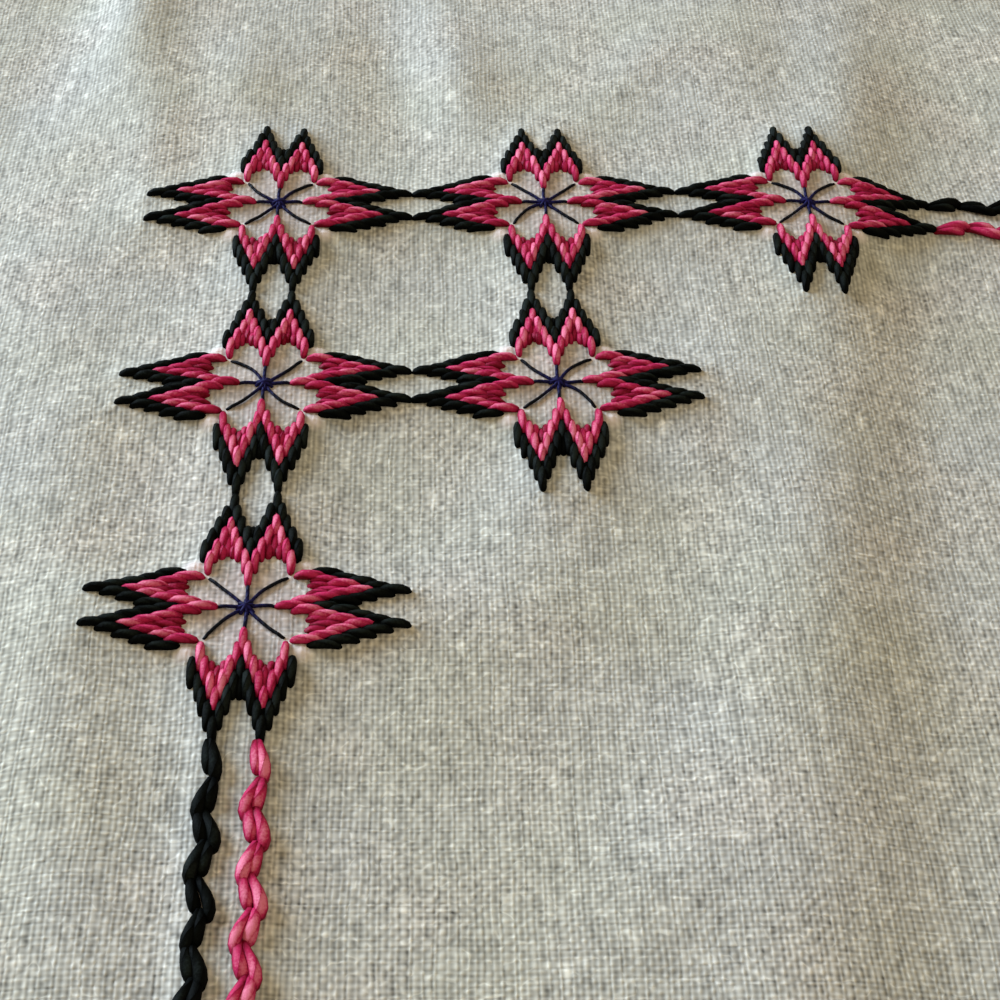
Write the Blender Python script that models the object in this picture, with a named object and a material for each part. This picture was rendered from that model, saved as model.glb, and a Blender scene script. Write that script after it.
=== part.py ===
"""A small square tablecloth, laid out flat: one thin woven cloth with its own folded hem.

The frame: +X runs along the cloth's near side, +Y away to its far side, +Z up. The origin is the
middle of the cloth on the surface it lies on. The cloth touches that surface except where a low
swell lifts it, and where the embroidered stars have drawn it up a little.
"""

import math

import bmesh
import bpy

# ---- driving sizes, metres ----
SIDE = 0.850  # finished square, from hem edge to hem edge
CLOTH_THICK = 0.0012  # the single cloth
HEM_THICK = 0.0022  # the cloth folded over twice at its edge
HEM_WIDTH = 0.012
HEM_STEP = 0.0012  # the run over which the hem comes down to the single cloth

# ---- embroidered corner groups: stars in rows of three, two and one ----
STAR_PITCH = 0.054  # from the middle of one star to the next
CORNER_SPAN = 12 * STAR_PITCH  # between the corner stars of two neighbouring corners
STARS_IN_ROW = 3
STAR_RISE = 0.0014  # how far the stitches draw the cloth up at a star's middle
STAR_REACH = 0.021  # radius of that rise

# ---- swells: low rises of loose cloth, the first one broad. One row for each, in metres and degrees:
# middle x, middle y, heading from +X, half length, half width, flatness of its top, height
SWELLS = (
    (-0.299, 0.262, 82, 0.175, 0.093, 10, 0.0044),
    (-0.350, 0.395, 100, 0.050, 0.016, 2, 0.0010),
    (-0.120, 0.350, 150, 0.070, 0.030, 2, 0.0044),
    (0.060, 0.290, 105, 0.120, 0.034, 2, 0.0052),
    (0.300, 0.345, 42, 0.110, 0.028, 2, 0.0040),
    (0.335, 0.060, 95, 0.130, 0.032, 2, 0.0050),
    (0.150, -0.200, 20, 0.150, 0.034, 2, 0.0056),
    (0.290, -0.345, 140, 0.090, 0.026, 2, 0.0040),
    (-0.060, -0.330, 172, 0.140, 0.030, 2, 0.0046),
    (-0.300, -0.210, 58, 0.130, 0.032, 2, 0.0052),
    (-0.340, -0.020, 100, 0.080, 0.028, 2, 0.0040),
)
SLACK = 0.0006  # the first part of each rise, which the cloth's weight presses flat
EASE = 0.0010  # how gently a rise leaves the surface

# ---- facets ----
FINE_X = (-0.385, -0.165)  # the far left corner group, where the cloth has its finest shape
FINE_Y = (0.140, 0.400)
FINE_STEP = 0.011
COARSE_STEP = 0.024

CLOTH_COLOUR = (0.62, 0.61, 0.55, 1.0)


def clear_scene():
    """Removes every object that the file holds."""
    for thing in list(bpy.data.objects):
        bpy.data.objects.remove(thing, do_unlink=True)


def star_centres():
    """The middles of the stars: the same stepped group in each of the four corners."""
    for side_x in (-1, 1):
        for side_y in (-1, 1):
            for row in range(STARS_IN_ROW):
                for place in range(STARS_IN_ROW - row):
                    x = side_x * (CORNER_SPAN / 2 - place * STAR_PITCH)
                    y = side_y * (CORNER_SPAN / 2 - row * STAR_PITCH)
                    yield x, y


STARS = tuple(star_centres())


def lift(x, y):
    """How high the underside stands over the surface at a point."""
    raised = 0.0
    for star_x, star_y in STARS:
        away = ((x - star_x) ** 2 + (y - star_y) ** 2) / STAR_REACH**2
        raised += STAR_RISE * math.exp(-away)
    for mid_x, mid_y, heading, half_length, half_width, flatness, height in SWELLS:
        turn = math.radians(heading)
        along = (x - mid_x) * math.cos(turn) + (y - mid_y) * math.sin(turn)
        across = (y - mid_y) * math.cos(turn) - (x - mid_x) * math.sin(turn)
        fall = abs(along / half_length) ** flatness + abs(across / half_width) ** flatness
        raised += height * math.exp(-fall)
    free = max(0.0, raised - SLACK)
    return free * free / (free + EASE)


def thickness(x, y):
    """The single cloth inside, the folded hem along all four sides."""
    inset = SIDE / 2 - max(abs(x), abs(y))
    share = (inset - HEM_WIDTH) / HEM_STEP
    share = min(1.0, max(0.0, share))
    return HEM_THICK + (CLOTH_THICK - HEM_THICK) * share


def spread(start, end, step):
    """Evenly spaced places from start up to end, without end itself."""
    count = max(1, round((end - start) / step))
    return [start + (end - start) * i / count for i in range(count)]


def grid_lines(fine):
    """Places of the mesh lines along one side: close together at the hem and in the fine stretch."""
    half = SIDE / 2
    inner = half - HEM_WIDTH - HEM_STEP
    lines = [-half, -half + HEM_WIDTH]
    lines += spread(-inner, fine[0], COARSE_STEP)
    lines += spread(fine[0], fine[1], FINE_STEP)
    lines += spread(fine[1], inner, COARSE_STEP)
    lines += [inner, half - HEM_WIDTH, half]
    return lines


def cloth_mesh():
    """The closed cloth: a top and an underside over the same lines, joined round the edge."""
    xs = grid_lines(FINE_X)
    ys = grid_lines(FINE_Y)
    shape = bmesh.new()
    under = [[shape.verts.new((x, y, lift(x, y))) for x in xs] for y in ys]
    over = [[shape.verts.new((x, y, lift(x, y) + thickness(x, y))) for x in xs] for y in ys]
    last_x = len(xs) - 1
    last_y = len(ys) - 1
    for j in range(last_y):
        for i in range(last_x):
            corners = ((j, i), (j, i + 1), (j + 1, i + 1), (j + 1, i))
            shape.faces.new([over[b][a] for b, a in corners])
            shape.faces.new([under[b][a] for b, a in reversed(corners)])
    for i in range(last_x):
        shape.faces.new((under[0][i], under[0][i + 1], over[0][i + 1], over[0][i]))
        shape.faces.new((over[last_y][i], over[last_y][i + 1], under[last_y][i + 1], under[last_y][i]))
    for j in range(last_y):
        shape.faces.new((over[j][0], over[j + 1][0], under[j + 1][0], under[j][0]))
        shape.faces.new((under[j][last_x], under[j + 1][last_x], over[j + 1][last_x], over[j][last_x]))
    bmesh.ops.triangulate(shape, faces=shape.faces[:])
    mesh = bpy.data.meshes.new("cloth")
    shape.to_mesh(mesh)
    shape.free()
    return mesh


def linen_material():
    """Matt, undyed woven linen."""
    material = bpy.data.materials.new("linen")
    material.use_nodes = True
    surface = material.node_tree.nodes["Principled BSDF"]
    surface.inputs["Base Color"].default_value = CLOTH_COLOUR
    surface.inputs["Roughness"].default_value = 0.9
    surface.inputs["Metallic"].default_value = 0.0
    return material


def main():
    clear_scene()
    cloth = bpy.data.objects.new("cloth", cloth_mesh())
    cloth.data.materials.append(linen_material())
    bpy.context.scene.collection.objects.link(cloth)


main()
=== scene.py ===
"""Looks of a small square tablecloth of even-weave linen, embroidered by the counted thread.

Lengths are in metres and angles in degrees. Stitches are placed in yarns, the cloth's own unit: a
stitch goes down between two yarns, so its ends are whole numbers of them.
"""

import math

import bpy
import numpy as np
from mathutils import Matrix, Vector


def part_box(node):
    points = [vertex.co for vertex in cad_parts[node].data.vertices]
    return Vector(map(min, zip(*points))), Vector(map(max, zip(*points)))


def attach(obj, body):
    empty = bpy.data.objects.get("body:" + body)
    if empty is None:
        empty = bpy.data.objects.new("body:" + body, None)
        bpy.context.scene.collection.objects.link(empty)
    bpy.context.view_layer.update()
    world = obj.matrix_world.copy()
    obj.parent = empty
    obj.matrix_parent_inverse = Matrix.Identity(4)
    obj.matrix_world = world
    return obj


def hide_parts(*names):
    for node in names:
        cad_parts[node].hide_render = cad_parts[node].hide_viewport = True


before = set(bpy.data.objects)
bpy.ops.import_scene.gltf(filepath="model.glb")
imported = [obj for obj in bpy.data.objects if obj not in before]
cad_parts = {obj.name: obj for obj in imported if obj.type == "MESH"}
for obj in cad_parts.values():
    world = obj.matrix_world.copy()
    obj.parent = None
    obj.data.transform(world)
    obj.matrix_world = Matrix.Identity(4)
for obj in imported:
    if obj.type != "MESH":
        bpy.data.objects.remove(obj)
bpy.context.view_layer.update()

CLOTH_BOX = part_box("cloth")

# ---- the cloth ----
HALF = CLOTH_BOX[1][0]  # half the finished square
CLOTH_THICK = 0.0012
HEM_WIDTH = 0.012
STAR_PITCH = 0.054
CORNER_SPAN = 12 * STAR_PITCH  # from one corner's outermost star to the next corner's
STARS_IN_ROW = 3
YARNS_IN_PITCH = 58
YARN = STAR_PITCH / YARNS_IN_PITCH
CORNER_STAR = CORNER_SPAN / 2 / YARN  # the outermost star, in yarns from the cloth's middle

# The low rises of the loose cloth, as the CAD solid has them:
# middle x, middle y, heading from +X, half length, half width, flatness of its top, height
SWELLS = (
    (-0.299, 0.262, 82, 0.175, 0.093, 10, 0.0044),
    (-0.350, 0.395, 100, 0.050, 0.016, 2, 0.0010),
    (-0.120, 0.350, 150, 0.070, 0.030, 2, 0.0044),
    (0.060, 0.290, 105, 0.120, 0.034, 2, 0.0052),
    (0.300, 0.345, 42, 0.110, 0.028, 2, 0.0040),
    (0.335, 0.060, 95, 0.130, 0.032, 2, 0.0050),
    (0.150, -0.200, 20, 0.150, 0.034, 2, 0.0056),
    (0.290, -0.345, 140, 0.090, 0.026, 2, 0.0040),
    (-0.060, -0.330, 172, 0.140, 0.030, 2, 0.0046),
    (-0.300, -0.210, 58, 0.130, 0.032, 2, 0.0052),
    (-0.340, -0.020, 100, 0.080, 0.028, 2, 0.0040),
)
SLACK = 0.0006  # a rise lower than this leaves the cloth flat
EASE = 0.0010  # and one about this much higher leaves it softly
# Smaller rises and troughs among and beside the stars, too low for the solid, in the same columns
RIPPLES = (
    (-0.361, 0.412, 92, 0.040, 0.0075, 2, 0.0040),
    (-0.352, 0.352, 92, 0.028, 0.007, 2, 0.0016),
    (-0.3345, 0.366, 92, 0.025, 0.009, 2, 0.0016),
    (-0.3005, 0.378, 96, 0.032, 0.010, 2, -0.0019),
    (-0.2885, 0.374, 97, 0.030, 0.009, 2, 0.0022),
    (-0.248, 0.376, 60, 0.018, 0.007, 2, 0.0009),
    (-0.2125, 0.378, 84, 0.030, 0.008, 2, -0.0007),
    (-0.2015, 0.356, 84, 0.028, 0.009, 2, 0.0014),
    (-0.225, 0.388, 88, 0.045, 0.028, 2, 0.0018),
    (-0.327, 0.243, 92, 0.010, 0.005, 2, -0.0007),
    (-0.246, 0.253, 96, 0.009, 0.006, 2, 0.0007),
    (-0.279, 0.228, 62, 0.020, 0.012, 2, 0.0011),
    (-0.242, 0.202, 84, 0.030, 0.008, 2, 0.0006),
    (-0.258, 0.166, 60, 0.018, 0.010, 2, 0.0010),
    (-0.283, 0.208, 38, 0.026, 0.015, 2, 0.0014),
    (-0.212, 0.285, 82, 0.030, 0.009, 2, 0.0006),
    (-0.233, 0.262, 95, 0.045, 0.015, 2, 0.0013),
    (-0.2305, 0.205, 81, 0.075, 0.013, 2, 0.0020),
    (-0.352, 0.195, 98, 0.100, 0.012, 2, 0.0025),
)
STAR_RISE = 0.0014  # how far a star's stitches lift the loose cloth round them
STAR_REACH = 0.021

# How the stitches draw the cloth up round them
ARM_RISE = 0.0017
ARM_LONG = 37.0  # in yarns, like the next
ARM_REACH = 12.0
LINE_SHARE = 0.8  # the chain lines' ridge, as a share of an arm's
TENT_RISE = 0.00035
TENT_REACH = 0.0022
PUCKER_RISE = 0.00080  # at the inner corners between a star's arms
PUCKER_REACH = 0.0016
PUCKER_AT = 10.1  # yarns out from the star's middle, both ways
KNOT_AT = 7.7  # the pale knots at the slanting rays' ends, likewise
KNOT_REACH = 0.0009
BLUSH_REACH = 10.5  # yarns from a star's middle over which the cloth looks faintly pink

# ---- the stars, in yarns from a star's middle ----
STEPS = (0, 1, 2, 3, 4, 3, 2, 1, 0)  # how many steps out a stitch stands, by its place across the arm
STEP = 3
STITCH = 6  # length of a stitch
PINK_FROM = 5
BLACK_FROM = 11
STAR_TIP = BLACK_FROM + STITCH + STEP * max(STEPS)
LINE_OFF = 4  # the two tips of an arm, and the two chain lines, stand this far off its middle
STITCH_HALF = 0.5
LINE_HALF = 1.5
# Where the columns lie by their place across the arm: the plump threads push each other outwards
COLUMNS = (0.0, 1.02, 2.05, 3.1, 4.1, 5.2, 6.3, 7.35, 8.45)
# Short low stitches that fill the two crooks of an arm: across, from, to. Those of the arms along X
# start further in.
PINK_FILL = (
    (4.1, 12.6, 18.5),
    (-4.1, 12.6, 18.5),
    (3.1, 12.0, 15.0),
    (-3.1, 12.0, 15.0),
    (5.2, 12.0, 15.0),
    (-5.2, 12.0, 15.0),
)
BLACK_FILL = (
    (0.0, 15.0, 20.2),
    (4.1, 20.0, 24.5),
    (-4.1, 20.0, 24.5),
)
FILL_IN = 1.5

# ---- the chain lines ----
LINE_FROM = CORNER_SPAN / 2 - (STARS_IN_ROW - 1) * STAR_PITCH - STAR_TIP * YARN
LINKS = 66
LINK = 2 * LINE_FROM / LINKS / YARN  # from one link to the next, in yarns

# ---- finishes ----
# For each thread its colour with painted shade in the creases, on its sides, and with a painted highlight
# on its crown, its shine and roughness
FLOSS_BLACK = (
    (0.0008, 0.0010, 0.0010, 1.0),
    (0.0036, 0.0046, 0.0042, 1.0),
    (0.014, 0.019, 0.017, 1.0),
    0.02,
    0.6,
)
FLOSS_PINK = (
    (0.175, 0.0006, 0.014, 1.0),
    (0.54, 0.021, 0.108, 1.0),
    (0.84, 0.21, 0.335, 1.0),
    0.1,
    0.5,
)
NAVY_MIDDLE = (0.010, 0.008, 0.070, 1.0)
NAVY_OUTER = (0.003, 0.004, 0.008, 1.0)
LINEN_WARM = (0.480, 0.475, 0.420, 1.0)
LINEN_COOL = (0.490, 0.490, 0.465, 1.0)
LINEN_TAN = (0.520, 0.480, 0.430, 1.0)
LINEN_BLUSH = (0.56, 0.375, 0.385, 1.0)
# The colour of the pale knots and puckers; on the puckers it is partly a painted highlight
LINEN_PALE = (0.90, 0.78, 0.76, 1.0)
# How strongly the weave shows, which is less towards the far edge: from y, to y, strength there
# and there. The warp, weft and over tones are lighter on the yarns and painted shade in the gaps between
# them.
WARP_TONE = (0.20, 0.39, 0.225, 0.170)
WEFT_TONE = (0.17, 0.30, 0.120, 0.030)
OVER_TONE = (0.28, 0.39, 0.130, 0.070)
WEFT_STREAK_TONE = (0.17, 0.36, 0.42, 0.12)
WARP_STREAK_TONE = 0.85
NUB_TONE = 0.48
CURL_TONE = 0.40
CURL_WIDE = 0.045  # how far the winding noise may be off its middle value in a curl
BLUSH_SHARE = 0.30
BLUSH_CALM = 0.75  # how much of the weave's contrast is left where it looks pink
LINEN_DEEP = 0.00004  # how deep the weave's fine relief is
FLOSS_DEEP = 0.00014
NAVY_DEEP = 0.00008
# Turns of a thread's plies in a metre, and how many plies
FLOSS_TWIST = (210.0, 3.0)
NAVY_TWIST = (700.0, 2.0)
FLOOR_PALE = (0.72, 0.72, 0.70, 1.0)

# ---- lights: name, place, what it is turned to, width, power, colour ----
LIGHTS = (
    ("window", (-2.00, 1.45, 0.72), (-0.27, 0.27, 0.0), 1.2, 98.0, (0.65, 0.82, 1.0)),
    ("room", (0.95, -0.55, 1.10), (0.30, -0.18, 0.0), 1.0, 2.5, (1.0, 0.90, 0.75)),
)
SURROUND = (1.0, 0.82, 0.53, 1.0)
SURROUND_STRENGTH = 0.47

# ---- camera: place, then degrees down, to the right and rolled, and its lens in millimetres ----
CAMERA_AT = (-0.2932, 0.0092, 0.2479)
LOOK_DOWN = 46.13
TURN_RIGHT = 2.88
ROLL = 1.66
LENS = 69.12

rng = np.random.RandomState(7)


# ================================================================== the cloth's form

FAR = 1e3  # more yarns than the cloth has


def rises(rows, x, y):
    """The summed height of a table of rises, at arrays of points."""
    raised = np.zeros(np.shape(x))
    for mid_x, mid_y, heading, half_length, half_width, flatness, height in rows:
        turn = math.radians(heading)
        along = (x - mid_x) * math.cos(turn) + (y - mid_y) * math.sin(turn)
        across = (y - mid_y) * math.cos(turn) - (x - mid_x) * math.sin(turn)
        fall = np.abs(along / half_length) ** flatness + np.abs(across / half_width) ** flatness
        raised += height * np.exp(-fall)
    return raised


def lift(x, y):
    """How high the cloth's underside stands over the surface, at arrays of points."""
    raised = np.zeros(np.shape(x))
    fold_x = np.abs(x)
    fold_y = np.abs(y)
    for row in range(STARS_IN_ROW):
        for place in range(STARS_IN_ROW - row):
            star_x = CORNER_SPAN / 2 - place * STAR_PITCH
            star_y = CORNER_SPAN / 2 - row * STAR_PITCH
            away = ((fold_x - star_x) ** 2 + (fold_y - star_y) ** 2) / STAR_REACH**2
            raised += STAR_RISE * np.exp(-away)
    raised += rises(SWELLS, x, y)
    free = np.maximum(0.0, raised - SLACK)
    return free * free / (free + EASE)


def underside(x, y):
    """Height of the cloth's underside with the low ripples too, never below the surface it lies on."""
    return np.maximum(lift(x, y) + rises(RIPPLES, x, y), 0.0)


def folded(x, y):
    """Yarns from the cloth's middle, both ways, as all four corners are alike."""
    return np.abs(x) / YARN, np.abs(y) / YARN


def star_offsets(x, y):
    """For each star of a corner group in turn, yarns from it to a point, both ways, folded to plus."""
    fold_x, fold_y = folded(x, y)
    for row in range(STARS_IN_ROW):
        for place in range(STARS_IN_ROW - row):
            a = np.abs(fold_x - (CORNER_STAR - place * YARNS_IN_PITCH))
            b = np.abs(fold_y - (CORNER_STAR - row * YARNS_IN_PITCH))
            yield a, b


def line_offsets(x, y):
    """For the chain lines along X, then along Y: yarns along them to a point, and out from their middle."""
    fold_x, fold_y = folded(x, y)
    yield fold_x, fold_y - CORNER_STAR
    yield fold_y, fold_x - CORNER_STAR


def from_arm(across, out):
    """Yarns from a point to the nearest stitch of one arm. across and out are not negative."""
    best = np.full(np.shape(across), FAR)
    for place, steps in enumerate(STEPS):
        low = (PINK_FROM if place < len(STEPS) - 1 else BLACK_FROM) + STEP * steps
        high = BLACK_FROM + STITCH + STEP * steps
        off = np.maximum(np.abs(across - place) - STITCH_HALF, 0.0)
        past = np.maximum(np.maximum(low - out, out - high), 0.0)
        best = np.minimum(best, np.hypot(off, past))
    return best


def from_stitches(x, y):
    """Metres from a point to the nearest star stitch or chain line, at arrays of points."""
    best = np.full(np.shape(x), FAR)
    for a, b in star_offsets(x, y):
        best = np.minimum(best, np.minimum(from_arm(a, b), from_arm(b, a)))
    for along, out in line_offsets(x, y):
        off = np.maximum(np.abs(np.abs(out) - LINE_OFF) - LINE_HALF, 0.0)
        past = np.maximum(along - LINE_FROM / YARN, 0.0)
        best = np.minimum(best, np.hypot(off, past))
    return best * YARN


def star_places(x, y):
    """Yarns from the nearest star to a point, both ways, folded to plus."""
    best_a = np.full(np.shape(x), FAR)
    best_b = np.full(np.shape(x), FAR)
    for a, b in star_offsets(x, y):
        nearer = a**2 + b**2 < best_a**2 + best_b**2
        best_a = np.where(nearer, a, best_a)
        best_b = np.where(nearer, b, best_b)
    return best_a, best_b


def arm_rise(x, y):
    """From 0 to 1: how far a point is up the ridges that the rows of stitches draw the cloth into."""
    flat = np.ones(np.shape(x))
    for a, b in star_offsets(x, y):
        for out, across in ((a, b), (b, a)):
            flat *= 1.0 - np.exp(-((out / ARM_LONG) ** 6) - (across / ARM_REACH) ** 2)
    for along, out in line_offsets(x, y):
        across = out / ARM_REACH
        flat *= 1.0 - LINE_SHARE * np.exp(-((along * YARN / LINE_FROM) ** 16) - across**2)
    return 1.0 - flat


def pucker(x, y):
    """From 0 to 1: how far a point is up the small pucker between two arms of a star."""
    a, b = star_places(x, y)
    away = ((a - PUCKER_AT) ** 2 + (b - PUCKER_AT) ** 2) * YARN**2
    return np.exp(-away / PUCKER_REACH**2)


def cloth_top(x, y):
    """Height of the cloth's face inside the hem, at arrays of points."""
    near = np.exp(-((from_stitches(x, y) / TENT_REACH) ** 2))
    drawn = ARM_RISE * arm_rise(x, y) + TENT_RISE * near + PUCKER_RISE * pucker(x, y)
    return underside(x, y) + CLOTH_THICK + drawn


def split_square(low, size, wanted, finest):
    """Splits a square into quarters until each cell is no bigger than wanted says at its middle.

    Works in whole units of the finest cell, and gives the cells as (x, y, size) in those units."""
    units = round(size / finest)
    cells = np.array([[0, 0, units]])
    done = []
    while len(cells):
        mid = low + (cells[:, :2] + cells[:, 2:] / 2) * finest
        big = cells[:, 2] * finest > wanted(mid[:, 0], mid[:, 1], cells[:, 2] * finest)
        big &= cells[:, 2] > 1
        done.append(cells[~big])
        parent = cells[big]
        half = parent[:, 2] // 2
        quarters = []
        for dx in (0, 1):
            for dy in (0, 1):
                quarters.append(np.stack([parent[:, 0] + dx * half, parent[:, 1] + dy * half, half], 1))
        cells = np.concatenate(quarters) if len(parent) else parent
    return np.concatenate(done)


def mesh_cells(cells):
    """Corners and faces of a split square. A cell with finer neighbours becomes a fan."""
    corners = set()
    for x, y, size in cells.tolist():
        corners.update(((x, y), (x + size, y), (x + size, y + size), (x, y + size)))
    number = {}
    for at in sorted(corners):
        number[at] = len(number)
    middles = []
    faces = []
    for x, y, size in cells.tolist():
        ring = []
        for i in range(size):
            ring.append((x + i, y))
        for i in range(size):
            ring.append((x + size, y + i))
        for i in range(size):
            ring.append((x + size - i, y + size))
        for i in range(size):
            ring.append((x, y + size - i))
        ring = [number[at] for at in ring if at in number]
        if len(ring) == 4:
            faces.append(ring)
            continue
        hub = len(number) + len(middles)
        middles.append((x + size / 2, y + size / 2))
        for i, corner in enumerate(ring):
            faces.append([corner, ring[(i + 1) % len(ring)], hub])
    places = np.array(list(number) + middles, float)
    return places, faces, number


HEM_SLOPE = 0.002  # from the face up onto the hem
INNER = HALF - HEM_WIDTH - HEM_SLOPE  # half of the square inside the hem
EDGE_CELL = 2 * INNER / 256
FINE_CELL = EDGE_CELL / 4
CLOSE_X = (-0.392, -0.150)  # the far left corner group
CLOSE_Y = (0.120, 0.404)
RIPPLES_PAST = 0.03  # how far past it the ripples reach
# Up to so far from the stitches, cells of so many finest cells; then the coarsest
FACE_CELLS = ((0.0020, 2.0), (0.006, 4.0), (0.06, 8.0))
FACE_COARSEST = 16.0
CLOSE_CELLS = ((0.0029, 1.0), (0.0052, 2.0))
CLOSE_COARSEST = 4.0
RIM_CELL = 4.0
BACK_RIPPLED = 8.0
BACK_COARSEST = 16.0
CELL_REACH = 0.75  # a little over half a cell's diagonal, in cells
WHOLE = 1.001  # keeps a rounded size from counting as too big


def cells_by_distance(near, cells, coarsest):
    """Cell sizes from a table of distances and sizes, at arrays of distances."""
    wanted = coarsest
    for reach, size in reversed(cells):
        wanted = np.where(near < reach, size, wanted)
    return wanted


def face_cell(x, y, size):
    """Cell size wanted on the cloth's face: fine at the stitches, finest in the far left corner."""
    reach = size * CELL_REACH
    near = np.maximum(from_stitches(x, y) - reach, 0.0)
    close = (x > CLOSE_X[0]) & (x < CLOSE_X[1]) & (y > CLOSE_Y[0]) & (y < CLOSE_Y[1])
    wanted = np.where(
        close,
        cells_by_distance(near, CLOSE_CELLS, CLOSE_COARSEST),
        cells_by_distance(near, FACE_CELLS, FACE_COARSEST),
    )
    rim = INNER - np.maximum(np.abs(x), np.abs(y)) - size / 2
    wanted = np.where(rim < EDGE_CELL / 2, np.minimum(wanted, RIM_CELL), wanted)
    return wanted * FINE_CELL * WHOLE


def underside_cell(x, y, size):
    """Cell size wanted on the underside: plain, finer under the ripples, and matched to the hem."""
    rim = INNER - np.maximum(np.abs(x), np.abs(y)) - size / 2
    rippled = (x < CLOSE_X[1] + RIPPLES_PAST) & (y > CLOSE_Y[0] - RIPPLES_PAST)
    wanted = np.where(rippled, BACK_RIPPLED, BACK_COARSEST)
    return np.where(rim < EDGE_CELL / 2, RIM_CELL, wanted) * FINE_CELL * WHOLE


def rim_corners(number):
    """The corners along the square's rim, in order round it, starting at the low x, low y corner."""
    units = round(2 * INNER / FINE_CELL)
    walk = [(i, 0) for i in range(units)]
    walk += [(units, i) for i in range(units)]
    walk += [(units - i, units) for i in range(units)]
    walk += [(0, units - i) for i in range(units)]
    return [number[at] for at in walk if at in number]


# The hem's cross-section from the face inside it, over the outer edge and back underneath:
# inset from the edge, height over the underside
HEM_SECTION = (
    (0.01320, 0.00125),
    (0.01250, 0.00160),
    (0.01190, 0.00205),
    (0.01110, 0.00228),
    (0.00980, 0.00222),
    (0.00600, 0.00216),
    (0.00220, 0.00222),
    (0.00090, 0.00218),
    (0.00030, 0.00190),
    (0.00000, 0.00130),
    (0.00000, 0.00080),
    (0.00030, 0.00020),
    (0.00100, 0.00000),
    (0.01180, 0.00000),
    (0.01205, 0.00050),
)
HEM_CROWN = 0.002  # the part of the hem above this height waves
HEM_WAVES = ((0.00012, 190.0, 0.0), (0.00008, 431.0, 1.3))  # height, turn for each metre, turn at 0


def hem_wave(x, y):
    """A slow unevenness of the hem, where the sewing has drawn it in."""
    along = np.where(np.abs(x) > np.abs(y), y, x)
    return sum(height * np.sin(along * turn + start) for height, turn, start in HEM_WAVES)


def make_cloth():
    """The whole cloth as one closed mesh: face, hem and underside. It notes for the linen's finish
    where its knots are pale and its puckers pale, partly as a painted highlight, and where it looks faintly
    pink."""
    cells = split_square(-INNER, 2 * INNER, face_cell, FINE_CELL)
    face_places, face_faces, face_number = mesh_cells(cells)
    face_xy = face_places * FINE_CELL - INNER
    cells = split_square(-INNER, 2 * INNER, underside_cell, FINE_CELL)
    back_places, back_faces, back_number = mesh_cells(cells)
    back_xy = back_places * FINE_CELL - INNER

    face_z = cloth_top(face_xy[:, 0], face_xy[:, 1])
    back_z = underside(back_xy[:, 0], back_xy[:, 1])
    points = [np.column_stack([face_xy, face_z]), np.column_stack([back_xy, back_z])]
    faces = list(face_faces)
    shift = len(face_xy)
    faces += [[shift + i for i in reversed(corners)] for corners in back_faces]

    rim = rim_corners(face_number)
    count = len(rim)
    rim_xy = face_xy[rim]
    rings = [rim]
    start = shift + len(back_xy)
    for inset, height in HEM_SECTION:
        ring_xy = rim_xy * ((HALF - inset) / INNER)
        wave = hem_wave(ring_xy[:, 0], ring_xy[:, 1]) if height > HEM_CROWN else 0.0
        ring_z = underside(ring_xy[:, 0], ring_xy[:, 1]) + height + wave
        points.append(np.column_stack([ring_xy, ring_z]))
        rings.append(list(range(start, start + count)))
        start += count
    rings.append([shift + i for i in rim_corners(back_number)])
    for near, far in zip(rings, rings[1:]):
        for i in range(count):
            j = (i + 1) % count
            faces.append([near[i], far[i], far[j], near[j]])

    cloth = new_piece("cloth_linen", np.concatenate(points), faces)
    places = np.concatenate(points)
    inside = np.maximum(np.abs(places[:, 0]), np.abs(places[:, 1])) <= INNER
    a, b = star_places(places[:, 0], places[:, 1])
    knot = np.exp(-((a - KNOT_AT) ** 2 + (b - KNOT_AT) ** 2) * (YARN / KNOT_REACH) ** 2)
    # Pale knots, and pale puckers that are partly a painted highlight
    tuft_and_highlight = np.maximum(pucker(places[:, 0], places[:, 1]), knot)
    put_values(cloth.data, "pale", np.where(inside, tuft_and_highlight, 0.0))
    blush = np.exp(-(((a**2 + b**2) / BLUSH_REACH**2) ** 3))
    put_values(cloth.data, "blush", np.where(inside, blush, 0.0))
    return cloth


# ================================================================== meshes and strands


def new_piece(name, points, faces):
    """A smooth-shaded mesh object in the scene."""
    mesh = bpy.data.meshes.new(name)
    mesh.from_pydata([tuple(p) for p in np.asarray(points).tolist()], [], faces)
    mesh.update()
    mesh.shade_smooth()
    piece = bpy.data.objects.new(name, mesh)
    bpy.context.scene.collection.objects.link(piece)
    return piece


def put_values(mesh, name, values):
    """Stores one number for each corner point of the mesh."""
    layer = mesh.attributes.new(name, "FLOAT", "POINT")
    layer.data.foreach_set("value", np.asarray(values, np.float32))


def unit(v):
    """Rows of v, each made one long."""
    return v / np.maximum(np.linalg.norm(v, axis=-1, keepdims=True), 1e-12)


CROWN_SIDE = 0.55  # how much painted light a thread gets on its sides, where it is painted in shade
CROWN_GAIN = 0.45  # and how much more on its top, a painted highlight
CROWN_END = 0.3  # and how much at its ends, painted shade where it goes into the cloth
CROWN_THIN = 1.5  # the power of its thickness by which its painted shade grows where it is thin


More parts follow.
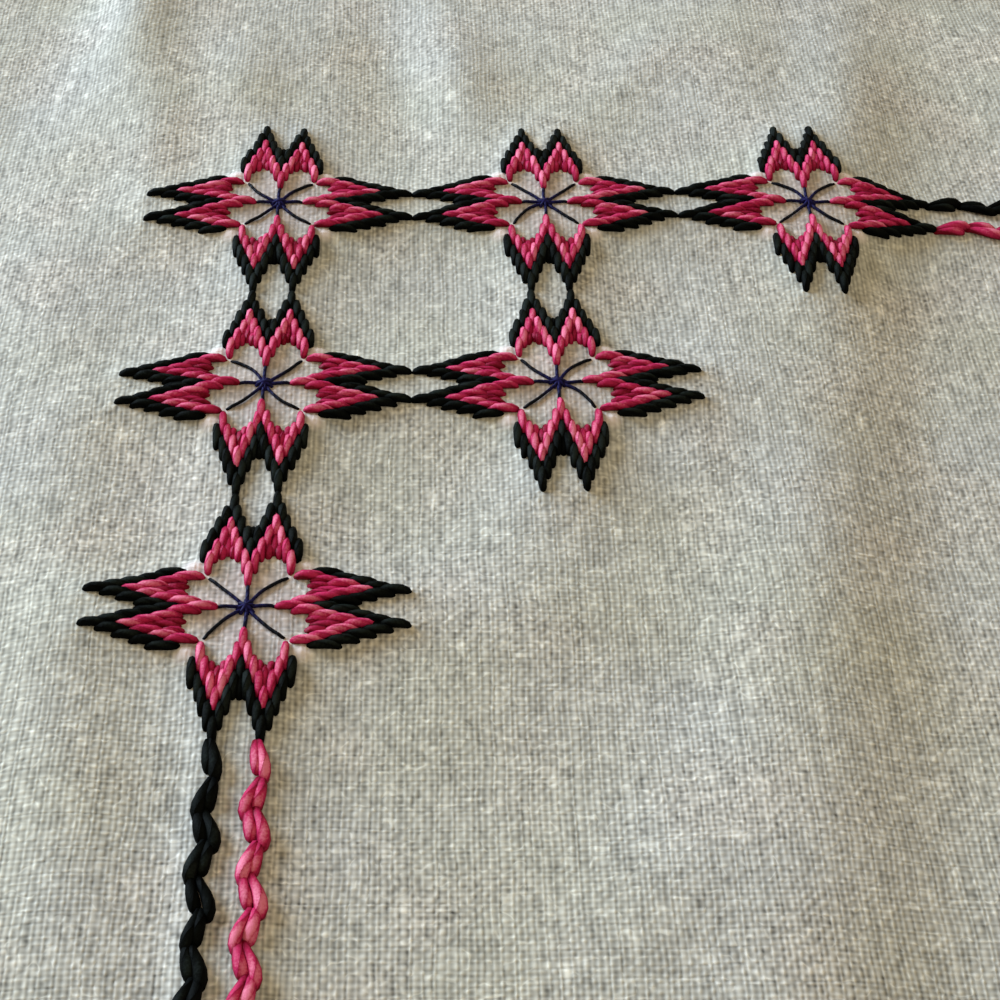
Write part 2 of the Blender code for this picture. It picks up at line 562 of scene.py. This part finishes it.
def strands(name, paths, widths, heights, sides=8, dim=0.0):
    """Many lengths of thread as one mesh. paths is (strands, rings, 3); widths and heights are half
    sizes, (strands, rings). Each thread is closed at both ends. Its map holds, for the thread's
    finish, the turn round it from 0 to 1 and the metres along it. Its painted light is 1 on top of
    the thread's thickest part, a painted highlight, and less down its sides and to its ends, painted
    shade; dim, a number or one for each thread, lowers it."""
    count, rings = paths.shape[:2]
    ahead = unit(np.gradient(paths, axis=1))
    side = unit(np.cross(ahead, (0.0, 0.0, 1.0)))
    up = np.cross(side, ahead)
    turn = np.arange(sides) * 2 * math.pi / sides
    body = (
        paths[:, :, None]
        + side[:, :, None] * (widths[:, :, None] * np.cos(turn))[..., None]
        + up[:, :, None] * (heights[:, :, None] * np.sin(turn))[..., None]
    )
    tips = paths[:, [0, -1]] + ahead[:, [0, -1]] * (heights[:, [0, -1], None] * [[[-0.5], [0.5]]])
    points = np.concatenate([body.reshape(-1, 3), tips.reshape(-1, 3)])

    lengths = np.linalg.norm(np.diff(paths, axis=1), axis=-1)
    along = np.concatenate([np.zeros((count, 1)), np.cumsum(lengths, axis=1)], 1)

    thread, ring, k = np.meshgrid(np.arange(count), np.arange(rings - 1), np.arange(sides), indexing="ij")
    first = (thread * rings + ring) * sides
    ahead_ring = first + sides
    following = (k + 1) % sides
    quads = np.stack([first + k, first + following, ahead_ring + following, ahead_ring + k], -1)
    quads = quads.reshape(-1, 4)
    here = along[thread, ring]
    there = along[thread, ring + 1]
    quad_map = np.stack(
        [
            np.stack([k / sides, here], -1),
            np.stack([(k + 1) / sides, here], -1),
            np.stack([(k + 1) / sides, there], -1),
            np.stack([k / sides, there], -1),
        ],
        -2,
    ).reshape(-1, 2)

    thread, k = np.meshgrid(np.arange(count), np.arange(sides), indexing="ij")
    base = thread * rings * sides
    last = base + (rings - 1) * sides
    following = (k + 1) % sides
    tip = count * rings * sides + thread * 2
    start_caps = np.stack([base + following, base + k, tip], -1).reshape(-1, 3)
    end_caps = np.stack([last + k, last + following, tip + 1], -1).reshape(-1, 3)
    zero = np.zeros(k.shape)
    end = along[thread, -1]
    start_turns = ((k + 1) / sides, k / sides, (k + 0.5) / sides)
    end_turns = (k / sides, (k + 1) / sides, (k + 0.5) / sides)
    start_map = np.stack([np.stack([around, zero], -1) for around in start_turns], -2).reshape(-1, 2)
    end_map = np.stack([np.stack([around, end], -1) for around in end_turns], -2).reshape(-1, 2)

    faces = quads.tolist() + start_caps.tolist() + end_caps.tolist()
    piece = new_piece(name, points, faces)
    layer = piece.data.uv_layers.new(name="thread")
    layer.data.foreach_set("uv", np.concatenate([quad_map, start_map, end_map]).astype(np.float32).ravel())
    shade = rng.rand(count)
    put_values(piece.data, "lot", np.concatenate([np.repeat(shade, rings * sides), np.repeat(shade, 2)]))
    # Painted light for the finish: highest on the thread's top, lower down its sides and at its thin ends,
    # where it is painted in shade
    thick = heights / heights.max(axis=1, keepdims=True)
    share = 1.0 - np.broadcast_to(dim, (count,))
    rounding = CROWN_SIDE + CROWN_GAIN * np.sin(turn)
    painted_light = thick[:, :, None] ** CROWN_THIN * rounding * share[:, None, None]
    ends = thick[:, [0, -1]] ** CROWN_THIN * CROWN_END * share[:, None]
    put_values(piece.data, "painted_light", np.concatenate([painted_light.ravel(), ends.ravel()]))
    return piece


# ================================================================== embroidery


def arm_stitches():
    """Stitches of one arm, out along +Y, in yarns: across, from, to, lean, sunk. Pink, then black."""
    last = len(STEPS) - 1
    pink = []
    black = []
    for place in range(-last, last + 1):
        across = math.copysign(COLUMNS[abs(place)], place)
        steps = STEPS[abs(place)]
        before = STEPS[abs(place - 1)] if abs(place - 1) <= last else steps
        after = STEPS[abs(place + 1)] if abs(place + 1) <= last else steps
        lean = (after - before) / 2
        if abs(place) < last:
            low = PINK_FROM + STEP * steps
            pink.append((across, low, low + STITCH, lean, 0.0))
        low = BLACK_FROM + STEP * steps
        black.append((across, low, low + STITCH, lean, 0.0))
    pink += [(*fill, 0.0, 1.0) for fill in PINK_FILL]
    black += [(*fill, 0.0, 1.0) for fill in BLACK_FILL]
    return np.array(pink, float), np.array(black, float)


def star_stitches(arm):
    """The arm's stitches turned round the star's four ways, as start, end and lean vectors."""
    starts, ends, leans = [], [], []
    for quarter in range(4):
        c, s = round(math.cos(quarter * math.pi / 2)), round(math.sin(quarter * math.pi / 2))
        turned = np.array([[c, s], [-s, c]])
        low = arm[:, 1] - FILL_IN * arm[:, 4] * (quarter % 2)
        starts.append(np.column_stack([arm[:, 0], low]) @ turned)
        ends.append(arm[:, [0, 2]] @ turned)
        leans.append(np.column_stack([arm[:, 3], 0 * arm[:, 3]]) @ turned)
    return np.concatenate(starts), np.concatenate(ends), np.concatenate(leans)


def corner_stars(sign_x, sign_y):
    """Middles of the six stars of one corner."""
    middles = []
    for row in range(STARS_IN_ROW):
        for place in range(STARS_IN_ROW - row):
            x = sign_x * (CORNER_SPAN / 2 - place * STAR_PITCH)
            y = sign_y * (CORNER_SPAN / 2 - row * STAR_PITCH)
            middles.append((x, y))
    return np.array(middles)


RINGS = np.array([0.0, 0.09, 0.26, 0.5, 0.74, 0.91, 1.0])  # places along a straight stitch
PLUMP = np.array([0.48, 0.84, 1.0, 1.04, 1.0, 0.84, 0.48])  # its thickness there
HALF_WIDE = 0.74 * YARN
HALF_HIGH = 0.90 * YARN
SUNK = 0.55 * YARN  # how much lower the filling stitches lie
LEAN = 0.12  # how far a stitch's two shoulders slant towards its neighbours, in yarns
SLANT = 0.75  # turns of the wave that slants them
STRAY = 0.09  # uneven handwork, in yarns
STITCH_SIZE = (0.93, 1.08)  # and its least and most thickness
DIVE = 0.0008  # how far its ends go into the cloth
RIDE = 0.8  # height of a thread's middle over the cloth, as a share of its half height
SUNK_DIM = 0.35  # how much painted shade the filling stitches get, as they lie lower
SIDEWAYS_DIM = 0.06  # and the stitches along X, painted shade as the light falls along them


def satin_stitches(name, arm, middles, wide, high):
    """All the straight stitches of one colour in one corner."""
    starts, ends, leans = star_stitches(arm)
    sunk = np.tile(arm[:, 4], 4 * len(middles))
    starts = (middles[:, None] + starts[None] * YARN).reshape(-1, 2)
    ends = (middles[:, None] + ends[None] * YARN).reshape(-1, 2)
    leans = np.tile(leans * YARN, (len(middles), 1))
    count = len(starts)
    stray = rng.normal(0.0, STRAY * YARN, (count, 2, 2))
    starts = starts + stray[:, 0]
    ends = ends + stray[:, 1]
    s = RINGS[None, :, None]
    flat = starts[:, None] * (1 - s) + ends[:, None] * s
    slant = np.sin((RINGS - 0.5) * 2 * math.pi * SLANT) * np.sin(RINGS * math.pi) ** 0.5
    flat = flat + leans[:, None] * (slant * LEAN)[None, :, None]
    bow = rng.normal(0.0, STRAY * YARN, (count, 1))
    way = unit(ends - starts)
    across = np.column_stack([-way[:, 1], way[:, 0]])
    flat = flat + across[:, None] * (bow * np.sin(RINGS * math.pi)[None])[..., None]
    size = rng.uniform(*STITCH_SIZE, (count, 1))
    widths = PLUMP[None] * HALF_WIDE * size * wide
    heights = PLUMP[None] * HALF_HIGH * size * high
    surface = cloth_top(flat[..., 0], flat[..., 1])
    dive = np.abs(2 * RINGS - 1) ** 3 * DIVE
    z = surface + heights * RIDE - dive[None] - sunk[:, None] * SUNK
    # Painted shade: the filling stitches lie lower, and the light falls along the stitches that run along X
    dim = SUNK_DIM * sunk + SIDEWAYS_DIM * np.abs(way[:, 0])
    return strands(name, np.concatenate([flat, z[..., None]], -1), widths, heights, dim=dim)


RAY_ENDS = ((0, 5), (7, 7), (5, 0), (7, -7), (0, -5), (-7, -7), (-5, 0), (-7, 7))
RAY_HALF = 0.35 * YARN
RAY_BOW = 0.11  # how far a slanting ray may bow, as a share of its length
RAY_STRAIGHT = 0.4  # the others' share of that
RAY_RINGS = 9
RAY_SLACK = 0.25  # how far a ray stands off the cloth in its middle, in half thicknesses
RAY_LOWEST = 0.1
CROSSINGS = (12, 58, 104, 150)  # headings of the short threads over a star's middle
CROSSING_STRAY = 9
CROSSING_HALF = 1.7 * YARN
CROSSING_HIGH = 2.3  # in half thicknesses, like the next
CROSSING_SPREAD = 0.3


def star_rays(name, middles):
    """Thin straight stitches from each star's middle, and the small crossing over it."""
    s = np.linspace(0.0, 1.0, RAY_RINGS)
    paths = []
    for middle in middles:
        for end in RAY_ENDS:
            way = np.array(end, float) * YARN
            length = np.hypot(*way)
            sideways = np.array([-way[1], way[0]]) / length
            bow = rng.uniform(-RAY_BOW, RAY_BOW) * length * (1.0 if end[0] * end[1] else RAY_STRAIGHT)
            flat = middle + s[:, None] * way + sideways * (bow * np.sin(s * math.pi))[:, None]
            slack = abs(rng.normal(0.0, RAY_SLACK)) + RAY_LOWEST
            z = RAY_HALF * (RIDE + slack * np.sin(s * math.pi)) - np.abs(2 * s - 1) ** 10 * RAY_HALF
            paths.append(np.column_stack([flat, z]))
        for angle in CROSSINGS:
            turn = math.radians(angle + rng.uniform(-CROSSING_STRAY, CROSSING_STRAY))
            way = np.array([math.cos(turn), math.sin(turn)]) * CROSSING_HALF
            flat = middle + (2 * s[:, None] - 1) * way
            high = CROSSING_HIGH + rng.uniform(-CROSSING_SPREAD, CROSSING_SPREAD)
            z = RAY_HALF * high * np.sin(s * math.pi) ** 0.6
            paths.append(np.column_stack([flat, z]))
    paths = np.array(paths)
    paths[..., 2] += cloth_top(paths[..., 0], paths[..., 1])
    size = np.full(paths.shape[:2], RAY_HALF)
    return strands(name, paths, size, size, sides=6)


# One link of a chain line, in yarns: across to its own side, along the line, over the cloth.
# The long leg swings out and ends at the outer hole, the short one ends at the inner hole.
LONG_LEG = (
    (-0.45, 0.0, -0.5),
    (-0.20, 0.9, 0.7),
    (0.35, 2.5, 1.1),
    (1.00, 4.1, 1.3),
    (1.48, 5.7, 1.3),
    (1.68, 7.1, 1.0),
    (1.52, 8.1, 0.3),
    (1.20, 8.6, -0.5),
)
SHORT_LEG = (
    (-0.75, 0.1, -0.5),
    (-0.98, 1.0, 0.7),
    (-1.00, 2.3, 1.0),
    (-0.80, 3.7, 1.1),
    (-0.52, 4.9, 0.9),
    (-0.30, 5.8, 0.4),
    (-0.20, 6.5, -0.1),
    (-0.15, 6.9, -0.8),
)
LEG_HALF = 0.95 * YARN
LEG_PLUMP = np.array([0.45, 0.72, 0.94, 1.10, 1.22, 1.18, 0.95, 0.55])
FIRST_EARLIER = 1.2  # yarns by which a line's first link starts early, under the star's tip
FIRST_WIDE = 0.7  # and its width as a share of the others'
LEG_FLAT = 0.9  # height of a leg as a share of its width
LINK_STRAY = 0.2  # uneven handwork: along the line and across it in yarns, then shares of a size
LEG_STRAY = 0.10
LINK_WIDE = (0.8, 1.2)
LEG_SIZE = (0.90, 1.08)


def chain_line(start, way, outer):
    """Paths of one chain line's links. way is the unit vector along it, outer its first link's side."""
    side = np.array([-way[1], way[0]])
    paths = []
    for link in range(LINKS):
        hand = outer if link % 2 == 0 else -outer
        base = link * LINK - (FIRST_EARLIER if link == 0 else 0.0) + rng.normal(0.0, LINK_STRAY)
        wide = rng.uniform(*LINK_WIDE) * (FIRST_WIDE if link == 0 else 1.0)
        for leg in (LONG_LEG, SHORT_LEG):
            leg = np.array(leg)
            across = leg[:, 0] * hand * wide + rng.normal(0.0, LEG_STRAY)
            along = np.minimum(base + leg[:, 1], 2 * LINE_FROM / YARN)
            flat = start + (along[:, None] * way + across[:, None] * side) * YARN
            paths.append(np.column_stack([flat, leg[:, 2] * YARN * RIDE]))
    return paths


def line_frames(offset):
    """Start, way and outer hand of the four lines that run at this offset outside the stars' middle."""
    off = CORNER_SPAN / 2 + offset * YARN
    yield np.array([-off, LINE_FROM]), np.array([0.0, -1.0])
    yield np.array([-LINE_FROM, off]), np.array([1.0, 0.0])
    yield np.array([off, -LINE_FROM]), np.array([0.0, 1.0])
    yield np.array([LINE_FROM, -off]), np.array([-1.0, 0.0])


def chain_lines(name, offset, dim):
    """The four chain lines of one colour."""
    paths = []
    for start, way in line_frames(offset):
        paths += chain_line(start, way, 1.0)
    paths = np.array(paths)
    paths[..., 2] += cloth_top(paths[..., 0], paths[..., 1])
    size = np.tile(LEG_PLUMP * LEG_HALF, (len(paths), 1)) * rng.uniform(*LEG_SIZE, (len(paths), 1))
    return strands(name, paths, size, size * LEG_FLAT, dim=dim)


# ================================================================== finishes


class Nodes:
    """A material's node tree, with short calls for sums and for joining nodes."""

    def __init__(self, name):
        self.material = bpy.data.materials.new(name)
        self.material.use_nodes = True
        self.tree = self.material.node_tree
        self.shader = self.tree.nodes["Principled BSDF"]

    def put(self, socket, value):
        if isinstance(value, bpy.types.NodeSocket):
            self.tree.links.new(value, socket)
        else:
            socket.default_value = value

    def sum(self, operation, *values):
        node = self.tree.nodes.new("ShaderNodeMath")
        node.operation = operation
        for socket, value in zip(node.inputs, values):
            self.put(socket, value)
        return node.outputs[0]

    def cosine(self, yarns, waves):
        """A wave that is 1 at yarn 0 and makes so many waves in each yarn."""
        return self.sum("COSINE", self.sum("MULTIPLY", yarns, 2 * math.pi * waves))

    def vector(self, x, y, z):
        node = self.tree.nodes.new("ShaderNodeCombineXYZ")
        for socket, value in zip(node.inputs, (x, y, z)):
            self.put(socket, value)
        return node.outputs[0]

    def parts(self, vector):
        node = self.tree.nodes.new("ShaderNodeSeparateXYZ")
        self.put(node.inputs[0], vector)
        return node.outputs

    def noise(self, vector, scale, detail=1.0, roughness=0.5):
        node = self.tree.nodes.new("ShaderNodeTexNoise")
        self.put(node.inputs["Vector"], vector)
        self.put(node.inputs["Scale"], scale)
        self.put(node.inputs["Detail"], detail)
        self.put(node.inputs["Roughness"], roughness)
        return node.outputs

    def attribute(self, name):
        node = self.tree.nodes.new("ShaderNodeAttribute")
        node.attribute_name = name
        return node.outputs

    def fit(self, value, low, high, new_low, new_high):
        node = self.tree.nodes.new("ShaderNodeMapRange")
        node.clamp = True
        for socket, number in zip(node.inputs, (value, low, high, new_low, new_high)):
            self.put(socket, number)
        return node.outputs[0]

    def mix(self, share, first, second):
        node = self.tree.nodes.new("ShaderNodeMix")
        node.data_type = "RGBA"
        self.put(node.inputs["Factor"], share)
        self.put(node.inputs["A"], first)
        self.put(node.inputs["B"], second)
        return node.outputs["Result"]

    def scaled(self, colour, factor):
        node = self.tree.nodes.new("ShaderNodeVectorMath")
        node.operation = "SCALE"
        self.put(node.inputs[0], colour)
        self.put(node.inputs["Scale"], factor)
        return node.outputs[0]

    def bump(self, height, distance, strength=1.0):
        node = self.tree.nodes.new("ShaderNodeBump")
        self.put(node.inputs["Strength"], strength)
        self.put(node.inputs["Distance"], distance)
        self.put(node.inputs["Height"], height)
        return node.outputs[0]


def wandering_yarns(n, metres, other, slow, seed):
    """Counts yarns along metres, unevenly: they wander, and no two gaps are the same."""
    counted = n.sum("DIVIDE", metres, YARN)
    counted = n.sum("MULTIPLY_ADD", n.sum("SUBTRACT", slow, 0.5), 1.0, counted)
    spacing = n.vector(n.sum("MULTIPLY", counted, 0.8), n.sum("MULTIPLY", other, 26.0), seed)
    uneven = n.noise(spacing, 1.0, 0.0)["Fac"]
    return n.sum("MULTIPLY_ADD", n.sum("SUBTRACT", uneven, 0.5), 0.7, counted)


def streaks(n, u, v, scale_u, scale_v, seed, detail=1.0, roughness=0.8):
    """Noise about 0 on the yarn counts, with so many of its waves in a yarn each way."""
    at = n.vector(n.sum("MULTIPLY", u, scale_u), n.sum("MULTIPLY", v, scale_v), seed)
    return n.sum("SUBTRACT", n.noise(at, 1.0, detail, roughness)["Fac"], 0.5)


def nubs(n, u, v):
    """Short fat knots of pale fibre, 5 yarns by 12 at most, from 0 to 1."""
    cells = n.tree.nodes.new("ShaderNodeTexVoronoi")
    n.put(cells.inputs["Vector"], n.vector(n.sum("DIVIDE", u, 5.0), n.sum("DIVIDE", v, 12.0), 0.0))
    n.put(cells.inputs["Scale"], 1.0)
    chance = n.parts(cells.outputs["Color"])
    size = n.fit(chance[0], 0.50, 1.0, 0.0, 0.24)
    return n.fit(n.sum("SUBTRACT", size, cells.outputs["Distance"]), 0.0, 0.10, 0.0, 1.0)


def curls(n, u, v, where):
    """Lines of loose fibre, from 0 to 1: a slow noise near its middle value, only where where is high."""
    at = n.vector(n.sum("MULTIPLY", u, 0.30), n.sum("MULTIPLY", v, 0.24), 6.1)
    winding = n.noise(at, 1.0, 1.0)["Fac"]
    curl = n.fit(n.sum("ABSOLUTE", n.sum("SUBTRACT", winding, 0.5)), 0.0, CURL_WIDE, 1.0, 0.0)
    return n.sum("MULTIPLY", curl, n.fit(where, 0.0, 0.08, 0.0, 1.0))


def linen():
    """Undyed even-weave linen: crossing yarns with painted shade between them, streaks, nubs, curls of
    loose fibre, slow patches, and pale knots and puckers, partly a painted highlight.
    """
    n = Nodes("linen")
    place = n.tree.nodes.new("ShaderNodeTexCoord").outputs["Object"]
    x, y, _ = n.parts(place)
    drift = n.parts(n.noise(place, 85.0, 1.0)["Color"])
    u = wandering_yarns(n, x, y, drift[0], 3.1)
    v = wandering_yarns(n, y, x, drift[1], 8.6)
    warp = n.cosine(u, 1.0)
    weft = n.cosine(v, 1.0)
    over = n.sum("MULTIPLY", n.cosine(u, 0.5), n.cosine(v, 0.5))
    warp_streaks = streaks(n, u, v, 0.60, 0.20, 2.3)
    weft_streaks = streaks(n, u, v, 0.17, 0.60, 7.9)
    crossings = streaks(n, u, v, 1.25, 1.1, 4.4, 0.0)
    nub = nubs(n, u, v)
    curl = curls(n, u, v, weft_streaks)
    warm = n.noise(place, 48.0, 1.0)["Fac"]
    patch = n.noise(place, 26.0, 1.0)["Fac"]
    blush = n.attribute("blush")["Fac"]
    pale = n.attribute("pale")["Fac"]

    # The weave's tone: lighter on the yarns, painted shade in the gaps between them
    tone = n.sum("MULTIPLY_ADD", warp, n.fit(y, *WARP_TONE), 1.0)
    tone = n.sum("MULTIPLY_ADD", weft, n.fit(y, *WEFT_TONE), tone)
    tone = n.sum("MULTIPLY_ADD", over, n.fit(y, *OVER_TONE), tone)
    tone = n.sum("ADD", n.sum("MULTIPLY", crossings, n.fit(warm, 0.4, 0.6, 0.5, 1.0)), tone)
    tone = n.sum("MULTIPLY_ADD", warp_streaks, WARP_STREAK_TONE, tone)
    tone = n.sum("MULTIPLY_ADD", weft_streaks, n.fit(y, *WEFT_STREAK_TONE), tone)
    tone = n.sum("MULTIPLY_ADD", nub, NUB_TONE, tone)
    tone = n.sum("MULTIPLY_ADD", curl, CURL_TONE, tone)
    calm = n.fit(blush, 0.0, 1.0, 1.0, BLUSH_CALM)
    tone = n.sum("MULTIPLY_ADD", n.sum("SUBTRACT", tone, 1.0), calm, 1.0)

    colour = n.mix(n.fit(patch, 0.35, 0.65, 0.0, 1.0), LINEN_WARM, LINEN_COOL)
    colour = n.mix(n.fit(warm, 0.45, 0.7, 0.0, 0.5), colour, LINEN_TAN)
    colour = n.mix(n.sum("MULTIPLY", blush, BLUSH_SHARE), colour, LINEN_BLUSH)
    colour = n.scaled(colour, tone)
    # Pale knots and puckers; on the puckers partly a painted highlight
    colour = n.mix(n.fit(pale, 0.1, 0.9, 0.0, 0.85), colour, LINEN_PALE)
    n.put(n.shader.inputs["Base Color"], colour)
    n.put(n.shader.inputs["Roughness"], 0.9)
    n.put(n.shader.inputs["Specular IOR Level"], 0.15)

    relief = n.sum("MULTIPLY_ADD", warp, 0.4, n.sum("MULTIPLY", over, 0.6))
    relief = n.sum("MULTIPLY_ADD", weft, 0.3, relief)
    relief = n.sum("MULTIPLY_ADD", crossings, 1.5, relief)
    n.put(n.shader.inputs["Normal"], n.bump(relief, LINEN_DEEP))
    return n.material


def thread_map(n):
    """The turn round a thread and the metres along it, from its map."""
    uv = n.tree.nodes.new("ShaderNodeUVMap")
    uv.uv_map = "thread"
    around, along, _ = n.parts(uv.outputs[0])
    return around, along


def plies(n, turns):
    """The wave that a thread's plies make: 0 in the grooves between them, 1 on their ridges."""
    return n.sum("ABSOLUTE", n.sum("SINE", n.sum("MULTIPLY", turns, math.pi)))


def floss(name, shade_colour, full, highlight_colour, shine, gloss):
    """Stranded embroidery cotton: fine plies along the thread, painted shade in the creases and between the
    plies, a painted highlight on the crown.
    """
    n = Nodes(name)
    around, along = thread_map(n)
    lot = n.attribute("lot")["Fac"]
    painted_light = n.attribute("painted_light")["Fac"]
    turns, count = FLOSS_TWIST
    twist = n.sum("MULTIPLY_ADD", along, turns, n.sum("MULTIPLY", around, count))
    twist = n.sum("ADD", twist, n.sum("MULTIPLY", lot, 3.0))
    ply = n.sum("POWER", plies(n, twist), 0.6)
    place = n.tree.nodes.new("ShaderNodeTexCoord").outputs["Object"]
    fibre = n.noise(place, 2600.0, 1.0)["Fac"]
    # The share of painted light: from the thread's shape, with random fibre and stitch tone, and painted
    # shade in the grooves between the plies
    share = n.sum("MULTIPLY_ADD", n.sum("SUBTRACT", fibre, 0.5), 0.4, painted_light)
    share = n.sum("MULTIPLY_ADD", n.sum("SUBTRACT", ply, 0.8), 0.30, share)
    share = n.sum("MULTIPLY_ADD", n.sum("SUBTRACT", lot, 0.5), 0.30, share)
    # Painted shade where the share is low, the thread's own colour in the middle, a painted highlight where
    # it is high
    colour = n.mix(n.fit(share, 0.34, 0.78, 0.0, 1.0), shade_colour, full)
    colour = n.mix(n.fit(share, 0.80, 1.10, 0.0, 1.0), colour, highlight_colour)
    n.put(n.shader.inputs["Base Color"], colour)
    n.put(n.shader.inputs["Roughness"], gloss)
    n.put(n.shader.inputs["Specular IOR Level"], shine)
    relief = n.sum("MULTIPLY_ADD", fibre, 0.5, ply)
    n.put(n.shader.inputs["Normal"], n.bump(relief, FLOSS_DEEP))
    return n.material


def navy_floss():
    """One dark strand, violet blue at the star's middle and near black further out."""
    n = Nodes("floss_navy")
    around, along = thread_map(n)
    turns, count = NAVY_TWIST
    ply = plies(n, n.sum("MULTIPLY_ADD", along, turns, n.sum("MULTIPLY", around, count)))
    out = n.fit(along, 1.5 * YARN, 5.5 * YARN, 0.0, 1.0)
    colour = n.mix(out, NAVY_MIDDLE, NAVY_OUTER)
    # Painted shade in the grooves between the plies, lighter on their ridges
    colour = n.scaled(colour, n.fit(ply, 0.0, 1.0, 0.6, 1.25))
    n.put(n.shader.inputs["Base Color"], colour)
    n.put(n.shader.inputs["Roughness"], 0.6)
    n.put(n.shader.inputs["Specular IOR Level"], 0.08)
    n.put(n.shader.inputs["Normal"], n.bump(ply, NAVY_DEEP))
    return n.material


def wear(piece, material):
    """Gives a piece its finish and puts it on the cloth's body."""
    piece.data.materials.clear()
    piece.data.materials.append(material)
    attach(piece, "root")


# ================================================================== the scene


CORNERS = (("far_left", -1, 1), ("far_right", 1, 1), ("near_left", -1, -1), ("near_right", 1, -1))
BLACK_SIZE = (1.12, 1.0)  # width and height of the black stitches, as shares of the usual
PINK_SIZE = (1.06, 1.05)
# How much the chains' painted light is lowered: the black chain gets less painted highlight, the pink one
# more
BLACK_CHAIN_DIM = 0.12
PINK_CHAIN_DIM = -0.14


def make_object():
    """The cloth and its embroidery, corner by corner, then the chain lines."""
    cloth = make_cloth()
    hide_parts("cloth")
    wear(cloth, linen())

    black = floss("floss_black", *FLOSS_BLACK)
    pink = floss("floss_pink", *FLOSS_PINK)
    navy = navy_floss()
    pink_arm, black_arm = arm_stitches()
    trims = []
    for corner, sign_x, sign_y in CORNERS:
        middles = corner_stars(sign_x, sign_y)
        outline = satin_stitches(f"black_stitches_{corner}", black_arm, middles, *BLACK_SIZE)
        inside = satin_stitches(f"pink_stitches_{corner}", pink_arm, middles, *PINK_SIZE)
        rays = star_rays(f"navy_rays_{corner}", middles)
        trims += [
            (outline, black, "floss_black"),
            (inside, pink, "floss_pink"),
            (rays, navy, "floss_navy"),
        ]
    trims.append((chain_lines("black_chain", LINE_OFF, BLACK_CHAIN_DIM), black, "floss_black"))
    trims.append((chain_lines("pink_chain", -LINE_OFF, PINK_CHAIN_DIM), pink, "floss_pink"))
    for piece, material, slot in trims:
        wear(piece, material)


FLOOR_REACH = 6.0
FLOOR_LOW = -0.0004  # a little under the cloth, so that their faces don't meet


def make_floor():
    """A plain pale floor under the cloth."""
    mesh = bpy.data.meshes.new("floor")
    ways = ((-1, -1), (1, -1), (1, 1), (-1, 1))
    corners = [(x * FLOOR_REACH, y * FLOOR_REACH, FLOOR_LOW) for x, y in ways]
    mesh.from_pydata(corners, [], [(0, 1, 2, 3)])
    floor = bpy.data.objects.new("floor", mesh)
    bpy.context.scene.collection.objects.link(floor)
    n = Nodes("floor")
    n.put(n.shader.inputs["Base Color"], FLOOR_PALE)
    n.put(n.shader.inputs["Roughness"], 0.8)
    mesh.materials.append(n.material)


def area_light(name, at, aim, size, power, colour):
    """A soft square light at a point, turned to another."""
    lamp = bpy.data.lights.new(name, "AREA")
    lamp.shape = "SQUARE"
    lamp.size = size
    lamp.energy = power
    lamp.color = colour
    thing = bpy.data.objects.new(name, lamp)
    thing.location = at
    thing.rotation_euler = (Vector(aim) - Vector(at)).to_track_quat("-Z", "Y").to_euler()
    bpy.context.scene.collection.objects.link(thing)


def make_light():
    """A cool window-like light low on the far left, a soft one over the rest, a warm surround."""
    for light in LIGHTS:
        area_light(*light)
    world = bpy.data.worlds.new("studio")
    world.use_nodes = True
    background = world.node_tree.nodes["Background"]
    background.inputs["Color"].default_value = SURROUND
    background.inputs["Strength"].default_value = SURROUND_STRENGTH
    bpy.context.scene.world = world
    bpy.context.scene.view_settings.view_transform = "Standard"


def make_camera():
    """The camera close over the far left corner, looking down at it from the near side."""
    data = bpy.data.cameras.new("camera")
    data.lens = LENS
    data.sensor_width = 36.0
    data.clip_start = 0.01
    camera = bpy.data.objects.new("camera", data)
    tilt = Matrix.Rotation(math.radians(90 - LOOK_DOWN), 4, "X")
    turn = Matrix.Rotation(math.radians(-TURN_RIGHT), 4, "Z")
    roll = Matrix.Rotation(math.radians(ROLL), 4, "Z")
    camera.matrix_world = Matrix.Translation(CAMERA_AT) @ turn @ tilt @ roll
    bpy.context.scene.collection.objects.link(camera)
    bpy.context.scene.camera = camera


make_camera()
make_object()
make_floor()
make_light()
